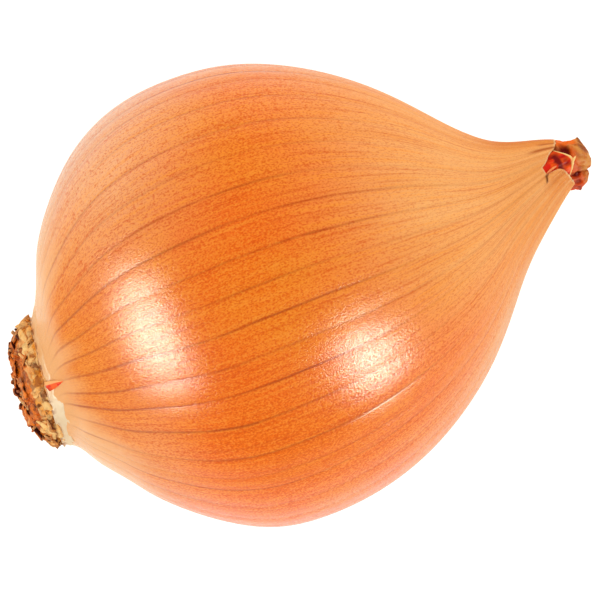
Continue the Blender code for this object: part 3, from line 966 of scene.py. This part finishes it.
# Dead scale tips: brittle matt paper, tan outside, orange where it is fresh, with painted shade in its
# folds and its hollow
tipLook = {
    "brown": "#cc680c",
    "tan": "#e29a48",
    "grey": "#dc9a58",
    "orange": "#fa6e00",
    "red": "#e24400",
    # painted shade in the creases and the hollow, and the pointed tip's own dark
    "dark": "#760800",
    "mottleScale": 850.0,  # patches of 1.2 mm
    "fibreScale": 2300.0,  # a fibre is 0.4 mm wide
    "fibreDraw": (0.25, 1.0, 1.0),  # and 1.7 mm long, along the neck
    "grainScale": 3000.0,  # grain of 0.3 mm
    "reliefDepth": 0.00015,  # m
    "reliefStrength": 0.7,
    "roughness": 0.6,
    "specular": 0.15,
}


def tipMaterial(name, redShare, tanShare):
    look = tipLook
    material, tree, shader = newMaterial(name)
    add = partial(addNode, tree)
    place = add("TexCoord", output="Object")
    fields = {}
    for field in ("crease", "hollow", "strip", "lower"):
        fields[field] = add("Attribute", output="Fac", attribute_name=field)
    mottle = add("TexNoise", {"Vector": place, "Scale": look["mottleScale"], "Detail": 4.0})
    fine = add("TexNoise", {"Vector": place, "Scale": look["grainScale"], "Detail": 2.0})
    fibreAt = add("Mapping", {"Vector": place, "Scale": look["fibreDraw"]})
    fibre = add("TexNoise", {"Vector": fibreAt, "Scale": look["fibreScale"], "Detail": 2.0})
    tan = add("MapRange", {"Value": mottle, "From Min": 0.38, "From Max": 0.58}, **smoothRange)
    grey = add("MapRange", {"Value": fibre, "From Min": 0.5, "From Max": 0.72}, **smoothRange)
    colour = hexColour(look["brown"])
    for share, paint, amount in (
        (tan, "tan", tanShare), (grey, "grey", 0.45), (fields["lower"], "red", redShare),
        # painted shade: the creases, then the hollow, with the pointed tip
        (fields["crease"], "dark", 0.65), (fields["strip"], "orange", 0.9),
        (fields["hollow"], "dark", 1.0),
    ):
        weight = add("Math", {0: share, 1: amount}, operation="MULTIPLY")
        paintColour = hexColour(look[paint])
        colour = add("Mix", {0: weight, 6: colour, 7: paintColour}, output=2, data_type="RGBA")
    height = add("Math", {0: fine, 1: 0.5, 2: fibre}, operation="MULTIPLY_ADD")
    depth, strength = look["reliefDepth"], look["reliefStrength"]
    relief = add("Bump", {"Height": height, "Distance": depth, "Strength": strength})
    finishMaterial(tree, shader, look, colour, relief)
    return material


# The root plate: a corky, flat-topped dome with bark-like plates that run round it
rootShape = {
    "radius": 10.25,
    "height": 4.75,
    "columns": 420,
    "rows": 110,
    "creamHeight": 0.9,
    "ridge": 0.62,
    "strips": 170,
    "stripLength": (1.6, 4.6),
    "stripHalf": ((0.45, 1.1), (0.2, 0.42)),  # half widths, then half thicknesses
    "lowStrips": 0.38,  # the share of the strips that lie on the side wall, next to the skin
    "stubs": 56,
    "stubLength": (0.5, 1.15),
    "stubRadius": (0.2, 0.42),
}


def seatPoints(share, height, angle):
    # on the disc: a share of its radius out from the middle, and a height out of the seat
    tilt = bulbShape["rootTilt"]
    outward = np.array((-math.cos(tilt), -math.sin(tilt), 0.0))
    sideways = np.array((-math.sin(tilt), math.cos(tilt), 0.0))
    reach = rootShape["radius"] * np.asarray(share, float)
    side = (reach * np.sin(angle))[..., None] * sideways
    up = (reach * np.cos(angle))[..., None] * np.array((0.0, 0.0, 1.0))
    return roundPoints(0.0, 0.0, 0.0) + side + up + np.asarray(height, float)[..., None] * outward


def seatOutward():
    # the direction straight out of the seat
    return seatPoints(0.0, np.array(1.0), 0.0) - seatPoints(0.0, np.array(0.0), 0.0)


def domeHeight(share):
    # flat on top and steep at the rim: (1 - share to the 4.2) to the 0.6, times the height
    return rootShape["height"] * np.clip(1 - np.clip(share, 0, 1) ** 4.2, 0, 1) ** 0.6


def outerShare(height):
    # 0 by the skin, where the cork is cream, to 1 outside, where it has weathered
    return ease((height - rootShape["creamHeight"]) / 2.0)


def rootRelief(share, angle):
    # ridged noise, long round the disc and short across it, in three sizes
    turn = angle / turnAngle
    weightSum = 1.95
    total = np.zeros(np.broadcast(share, angle).shape)
    for seed, around, across, weight in ((51, 13, 8, 1.0), (52, 30, 17, 0.6), (53, 80, 34, 0.35)):
        waved = share * across + 0.8 * latticeNoise(turn * around, share * 3, seed + 20, around)
        total = total + weight * (1 - 2 * np.abs(latticeNoise(turn * around, waved, seed, around)))
    return total / weightSum


def buildRootDisc(material):
    # the dome from its edge to its middle, with the ridges on it and a frayed edge
    columns = rootShape["columns"]
    angle = turnAngle * np.arange(columns) / columns
    shares = np.linspace(1.0, 0.0, rootShape["rows"], endpoint=False)
    relief = rootRelief(shares[:, None], angle[None, :])
    height = np.maximum(domeHeight(shares)[:, None], 1.5) + rootShape["ridge"] * (relief - 0.4)
    frayed = 1 + 0.03 * latticeNoise(angle / turnAngle * 48, 0.5, 57, 48)
    reach = shares[:, None] * (1 + (frayed - 1) * shares[:, None] ** 4)
    body = seatPoints(reach, height, angle[None, :])
    rim = ((0.93, 0.02), (0.99, 0.25), (1.01, 0.7), (1.005, 1.2))
    edge = np.stack([seatPoints(s * frayed, np.full(columns, h), angle) for s, h in rim])
    points = np.concatenate((edge, body))
    # high on the ridges and low between them: the cork's paint turns this into a painted highlight on
    # the ridges and painted shade between them
    toneAndPaintedLight = np.concatenate((np.full((len(rim), columns), 0.35), 0.5 + 0.5 * relief))
    outer = np.concatenate((np.zeros((len(rim), columns)), outerShare(height)))
    mesh = sheetMesh("rootDisc", points, poles=(True, True), values={"toneAndPaintedLight": toneAndPaintedLight, "outer": outer})
    faceOutwards(mesh)
    return addPiece("rootDisc", mesh, material, ("root_plate",))


def tubesMesh(name, loops, values):
    # closed tubes: loops[tube, ring, side] are points, and each end closes on its middle
    count, rings, sides = loops.shape[:3]
    index = np.arange(count * rings * sides).reshape(count, rings, sides)
    after = np.roll(index, -1, axis=2)
    quads = np.stack((index[:, :-1], after[:, :-1], after[:, 1:], index[:, 1:]), axis=-1)
    faces = quads.reshape(-1, 4).tolist()
    vertices = loops.reshape(-1, 3)
    for ring in (0, -1):
        middle = len(vertices) + np.arange(count)
        vertices = np.vstack((vertices, loops[:, ring].mean(axis=1)))
        first = index[:, ring]
        second = np.roll(first, -1, axis=1)
        pair = (second, first) if ring == 0 else (first, second)
        fan = np.stack((pair[0], pair[1], np.broadcast_to(middle[:, None], first.shape)), axis=-1)
        faces = faces + fan.reshape(-1, 3).tolist()
    mesh = bpy.data.meshes.new(name)
    mesh.from_pydata(inFrame(vertices).tolist(), [], faces)
    for key, value in values.items():
        value = np.asarray(value)
        if value.ndim < 3:
            value = value.reshape(count, -1, 1)
        value = np.broadcast_to(value, (count, rings, sides))
        ends = value[:, 0].mean(axis=1), value[:, -1].mean(axis=1)
        setField(mesh, key, np.concatenate((value.ravel(), *ends)))
    mesh.validate()
    mesh.shade_smooth()
    faceOutwards(mesh)
    return mesh


def buildRootBark(material):
    # flat strips that follow the disc round: an ellipse carried along an arc, thin at its ends
    chance = np.random.default_rng(61)
    count, rings, sides = rootShape["strips"], 20, 8
    share = 1.0 - 0.6 * chance.uniform(0, 1, count) ** 1.6
    middle = chance.uniform(0, turnAngle, count)
    halfWidth, halfThickness = rootShape["stripHalf"]
    length = chance.uniform(*rootShape["stripLength"], count)
    width = chance.uniform(*halfWidth, count)
    thick = chance.uniform(*halfThickness, count)
    # most follow the disc round, and some lie across it
    yaw = chance.normal(0.0, 0.35, count)
    lean = chance.uniform(-0.2, 1.0, count)
    # some lie low on the disc's side wall, next to the skin
    low = chance.uniform(0, 1, count) < rootShape["lowStrips"]
    share = np.where(low, chance.uniform(0.965, 1.0, count), share)
    lowHeight = chance.uniform(0.1, 2.0, count)
    run = np.linspace(-0.5, 0.5, rings)[None, :]
    angle = middle[:, None] + run * (length * np.cos(yaw) / (share * rootShape["radius"]))[:, None]
    sway = np.where(low, 0.015, 0.05)[:, None] * latticeNoise(angle * 5, share[:, None] * 30, 62)
    slant = np.where(low, 0.0, length * np.sin(yaw) / rootShape["radius"])[:, None] * run
    at = np.minimum(share[:, None] + sway + slant, 1.0)
    bow = chance.uniform(0.0, 0.4, count)[:, None] * (2 * run) ** 2
    waver = 0.15 * latticeNoise(angle * 9, at * 20, 63)
    height = np.maximum(domeHeight(at), 1.0) + 0.1 + bow + waver
    lowHeight = lowHeight[:, None] + run * (length * np.sin(yaw))[:, None]
    height = np.where(low[:, None], np.maximum(lowHeight, 0.05) + waver, height)
    path = seatPoints(at, height, angle)
    step = 0.02
    inner = seatPoints(at - step, np.maximum(domeHeight(at - step), 0.9), angle)
    across = seatPoints(at + step, np.maximum(domeHeight(at + step), 0.9), angle) - inner
    across = unit(np.where(low[:, None, None], -seatOutward(), across))
    forward = unit(np.gradient(path, axis=1))
    out = unit(np.cross(across, forward))
    cos, sin = np.cos(lean)[:, None, None], np.sin(lean)[:, None, None]
    wide = across * cos + out * sin
    high = -across * sin + out * cos
    taper = np.clip(1 - (2 * run) ** 2, 0.02, 1) ** 0.4
    taper = taper * (1 + 0.4 * latticeNoise(angle * 14, share[:, None] * 40, 64))
    side = (turnAngle * np.arange(sides) / sides)[None, None, :, None]
    wide = (width[:, None] * taper)[..., None] * wide
    high = (thick[:, None] * taper)[..., None] * high
    loops = path[:, :, None] + wide[:, :, None] * np.cos(side) + high[:, :, None] * np.sin(side)
    # painted shade: a strip is darker underneath, where it meets the others
    shade = 0.3 + 0.7 * ease(0.6 + 0.9 * np.sin(side[..., 0]))
    toneAndPaintedLight = chance.uniform(0.4, 1, count)[:, None, None] * shade * np.ones((1, rings, 1))
    values = {"toneAndPaintedLight": toneAndPaintedLight, "outer": np.where(low, 0.25 * lean, outerShare(height.mean(axis=1)))}
    return addPiece("rootBark", tubesMesh("rootBark", loops, values), material)


def buildRootStubs(material):
    # short broken roots: a tapered tube that bends outwards from the disc
    chance = np.random.default_rng(71)
    count, rings, sides = rootShape["stubs"], 7, 8
    share = 0.12 + 0.86 * np.sqrt(chance.uniform(0, 1, count))
    angle = chance.uniform(0, turnAngle, count)
    length = chance.uniform(*rootShape["stubLength"], count)
    radius = chance.uniform(*rootShape["stubRadius"], count)
    foot = seatPoints(share, np.maximum(domeHeight(share), 0.7) - 0.35, angle)
    outward = seatOutward()
    none = np.zeros(count)
    radial = unit(seatPoints(np.ones(count), none, angle) - seatPoints(none, none, angle))
    tangent = np.cross(outward, radial)
    sideways = chance.uniform(-1.1, 1.1, (count, 1))
    way = unit(outward * 0.8 + radial * (0.2 + 0.8 * share[:, None]) + tangent * sideways)
    bend = tangent * chance.uniform(-0.8, 0.8, (count, 1))
    bend = bend + radial * chance.uniform(-0.2, 0.6, (count, 1))
    step = np.linspace(0, 1, rings)[None, :, None]
    path = foot[:, None] + length[:, None, None] * (way[:, None] * step + 0.5 * bend[:, None] * step**2)
    first = unit(np.cross(way, tangent + 0.31 * outward))
    second = np.cross(way, first)
    side = (turnAngle * np.arange(sides) / sides)[None, None, :, None]
    taper = (1.1 - 0.4 * step[..., 0]) * (1 + 0.25 * chance.uniform(-1, 1, (count, rings)))
    ring = first[:, None, None] * np.cos(side) + second[:, None, None] * np.sin(side)
    loops = path[:, :, None] + (radius[:, None] * taper)[:, :, None, None] * ring
    values = {"toneAndPaintedLight": chance.uniform(0.2, 0.9, count), "outer": outerShare(domeHeight(share))}
    return addPiece("rootStubs", tubesMesh("rootStubs", loops, values), material)


# Dried root cork: brittle and rough, cream by the skin, orange and mauve-brown outside, with a painted
# highlight on its ridges and painted shade between them
rootLook = {
    # the cork's cracks, and painted shade between the ridges and under the strips
    "crack": "#481200",
    "brown": "#94400a",
    "orange": "#f47c16",
    # cream by the skin, and a painted highlight on the ridges
    "cream": "#ffd488",
    "yellow": "#f8981a",
    "mauve": "#8a4a32",
    "tan": "#f0843a",
    "patchScale": 520.0,  # patches of 1.9 mm
    "secondScale": 760.0,  # patches of 1.3 mm
    "grainScale": 2100.0,  # grain of 0.5 mm
    "reliefDepth": 0.0003,  # m
    "reliefStrength": 0.8,
    "roughness": 0.8,
    "specular": 0.1,
}


def rootMaterial():
    look = rootLook
    material, tree, shader = newMaterial("rootCork")
    add = partial(addNode, tree)
    place = add("TexCoord", output="Object")
    toneAndPaintedLight = add("Attribute", output="Fac", attribute_name="toneAndPaintedLight")
    outer = add("Attribute", output="Fac", attribute_name="outer")
    patch = add("TexNoise", {"Vector": place, "Scale": look["patchScale"], "Detail": 3.0})
    moved = add("Mapping", {"Vector": place, "Location": (0.3, 0.1, 0.2)})
    patchTwo = add("TexNoise", {"Vector": moved, "Scale": look["secondScale"], "Detail": 3.0})
    fine = add("TexNoise", {"Vector": place, "Scale": look["grainScale"], "Detail": 4.0})
    lightLevel = add("Math", {0: fine, 1: 0.5, 2: toneAndPaintedLight}, operation="MULTIPLY_ADD")
    inner = add("Math", {0: 1.0, 1: outer}, operation="SUBTRACT")
    # paints over each other: source, where it starts and is full, where it lies, colour, amount
    colour = hexColour(look["orange"])
    for value, start, full, where, paint, amount in (
        (patch, 0.44, 0.56, outer, "mauve", 0.85), (patchTwo, 0.5, 0.6, outer, "tan", 0.8),
        (inner, 0.1, 1.0, 1.0, "cream", 0.85), (patch, 0.42, 0.56, inner, "yellow", 0.9),
        (patchTwo, 0.48, 0.58, inner, "brown", 0.75), (fine, 0.5, 0.68, 1.0, "brown", 0.5),
        # a painted highlight on the ridges, and dark where the level is low: the cork's cracks, with
        # painted shade between the ridges and under the strips
        (lightLevel, 0.95, 1.15, 1.0, "cream", 0.55), (lightLevel, 0.68, 0.46, 1.0, "crack", 1.0),
    ):
        share = add("MapRange", {"Value": value, "From Min": start, "From Max": full, "To Max": amount})
        share = add("Math", {0: share, 1: where}, operation="MULTIPLY")
        paintColour = hexColour(look[paint])
        colour = add("Mix", {0: share, 6: colour, 7: paintColour}, output=2, data_type="RGBA")
    depth, strength = look["reliefDepth"], look["reliefStrength"]
    relief = add("Bump", {"Height": fine, "Distance": depth, "Strength": strength})
    finishMaterial(tree, shader, look, colour, relief)
    return material


# The pale torn skin round the root plate
collarShape = {"columns": 480, "rows": 16, "start": -0.2, "width": 1.1, "wall": 0.05, "lift": 0.04}


def bandPoints(along, lift, angle):
    # points over the skin's outline, at a height out of it
    step = 0.1
    slope = (skinRadius(along + step) - skinRadius(along - step)) / (2 * step)
    size = np.hypot(1, slope)
    return roundPoints(along - lift * slope / size, skinRadius(along) + lift / size, angle)


def buildCollar(material):
    # a band that follows the skin's outline, with a torn outer edge
    columns = collarShape["columns"]
    turn = np.arange(columns) / columns
    angle = turnAngle * turn
    torn = 0.3 * latticeNoise(turn * 17, 0.5, 81, 17) + 0.4 * latticeNoise(turn * 70, 0.5, 82, 70)
    lower = ease(0.5 - 2.5 * np.sin(angle + 0.25))
    width = collarShape["width"] * (1 + torn + 0.5 * lower)
    share = np.linspace(0, 1, collarShape["rows"])[:, None]
    along = collarShape["start"] + (width - collarShape["start"]) * share
    curl = latticeNoise(turn * 23, 0.5, 83, 23)
    # the outer edge sinks into the skin, so that it ends in a torn line and not in a step
    lift = collarShape["lift"] + 0.05 * share * ease(0.5 + curl) - 0.1 * ease(3 * share - 2)
    lift = lift + 0.05 * latticeNoise(turn * 70, share * 4, 84, 70)
    lift = lift + 0.35 * ease(1 - share * 3) * ease(0.4 + latticeNoise(turn * 50, 0.5, 85, 50))
    values = {"share": np.broadcast_to(share, along.shape), "pale": lower * np.ones_like(along)}
    mesh = sheetMesh("paleCollar", bandPoints(along, lift, angle), values=values)
    piece = addPiece("paleCollar", mesh, material, ("base_collar",))
    addWall(piece, collarShape["wall"])
    return piece


# The one flake that stands up from the collar
flakeShape = {
    # its foot, from the -Y end to the +Y end: share across, mm along, mm to the side, mm off the skin
    "foot": ((0.0, 0.25, -4.0, 0.1), (0.6, -0.1, -2.95, 0.75), (1.0, -0.15, -2.35, 0.45)),
    "tip": (3.05, -3.15, 0.35),
    "fold": 0.6,
    "wall": 0.08,
}


def buildFlake(material):
    # a small torn sheet, folded along its middle, that narrows from its foot to its tip
    run = np.linspace(0, 1, 40)[:, None]
    over = np.linspace(0, 1, 18)[None, :]
    foot = [readTable([(row[0], row[i]) for row in flakeShape["foot"]], over) for i in (1, 2, 3)]
    along, side, lift = (foot[i] + (flakeShape["tip"][i] - foot[i]) * run for i in range(3))
    # its edges bow outwards a little, and its foot is frayed
    side = side + 0.16 * np.sin(math.pi * run) * (2 * over - 1)
    along = along + 0.12 * latticeNoise(over * 9, 0.5, 86) * (1 - run)
    lift = lift + 0.15 * np.sin(math.pi * run) * (1 - over)
    middle = leanAt(along)
    up = np.sqrt(skinRadius(along) ** 2 - (side - middle) ** 2)
    points = np.stack(np.broadcast_arrays(along, side, up + lift), axis=-1)
    pale = 0.65 * ease((over - flakeShape["fold"] + 0.04) / 0.1) * np.ones_like(along)
    # painted shade by the flake's foot, on its -Y half, where it rises from the skin
    values = {"pale": pale, "deep": 0.5 * ease(1 - 3 * run) * ease(1 - 2 * over)}
    mesh = sheetMesh("liftedFlake", points, joined=False, values=values)
    piece = addPiece("liftedFlake", mesh, material)
    addWall(piece, flakeShape["wall"])
    return piece


# Bleached, brittle onion skin: cream, a little yellow where it is thick
collarLook = {
    "cream": "#e4caa0",
    "yellow": "#e8a050",
    "brown": "#a85c14",
    "patchScale": 350.0,  # patches of 2.9 mm
    "freckleScale": 900.0,  # freckles of 1.1 mm
    "grainScale": 2300.0,  # grain of 0.4 mm
    "reliefDepth": 0.00012,  # m
    "reliefStrength": 0.6,
    "roughness": 0.55,
    "specular": 0.5,
}


def collarMaterial():
    look = collarLook
    material, tree, shader = newMaterial("bleachedSkin")
    add = partial(addNode, tree)
    place = add("TexCoord", output="Object")
    width = add("Attribute", output="Fac", attribute_name="share")
    pale = add("Attribute", output="Fac", attribute_name="pale")
    patch = add("TexNoise", {"Vector": place, "Scale": look["patchScale"], "Detail": 3.0})
    fine = add("TexNoise", {"Vector": place, "Scale": look["grainScale"], "Detail": 3.0})
    cream = add("MapRange", {"Value": patch, "From Min": 0.35, "From Max": 0.65}, **smoothRange)
    # brown freckles on the band's inner part, next to the root plate
    across = {"Value": width, "From Min": 0.1, "From Max": 0.45, "To Min": 1.0, "To Max": 0.0}
    inner = add("MapRange", across)
    coarse = add("TexNoise", {"Vector": place, "Scale": look["freckleScale"], "Detail": 3.0})
    freckle = add("MapRange", {"Value": coarse, "From Min": 0.48, "From Max": 0.6}, **smoothRange)
    brown = add("Math", {0: inner, 1: freckle}, operation="MULTIPLY")
    colour = hexColour(look["yellow"])
    for share, paint, amount in ((cream, "cream", 0.25), (pale, "cream", 0.8), (brown, "brown", 0.8)):
        weight = add("Math", {0: share, 1: amount}, operation="MULTIPLY")
        paintColour = hexColour(look[paint])
        colour = add("Mix", {0: weight, 6: colour, 7: paintColour}, output=2, data_type="RGBA")
    depth, strength = look["reliefDepth"], look["reliefStrength"]
    relief = add("Bump", {"Height": fine, "Distance": depth, "Strength": strength})
    finishMaterial(tree, shader, look, colour, relief)
    return material


def main():
    bpy.context.scene.view_settings.view_transform = "Standard"
    addCamera()
    addLight()
    addFloor()
    print("stage ready")
    buildSkin(skinMaterial())
    print("skin ready")
    scalePaint = scaleMaterial()
    buildInnerScale(scalePaint)
    buildStrip("secondLip", scalePaint)
    buildStrip("tornShred", scalePaint)
    buildTip("hood", tipMaterial("driedHood", 0.7, 0.7), ("papery_tip",))
    buildTip("crumple", tipMaterial("driedCrumple", 0.85, 0.3))
    print("neck ready")
    cork = rootMaterial()
    buildRootDisc(cork)
    buildRootBark(cork)
    buildRootStubs(cork)
    buildCollar(collarMaterial())
    buildFlake(scalePaint)
    print("root ready")


main()
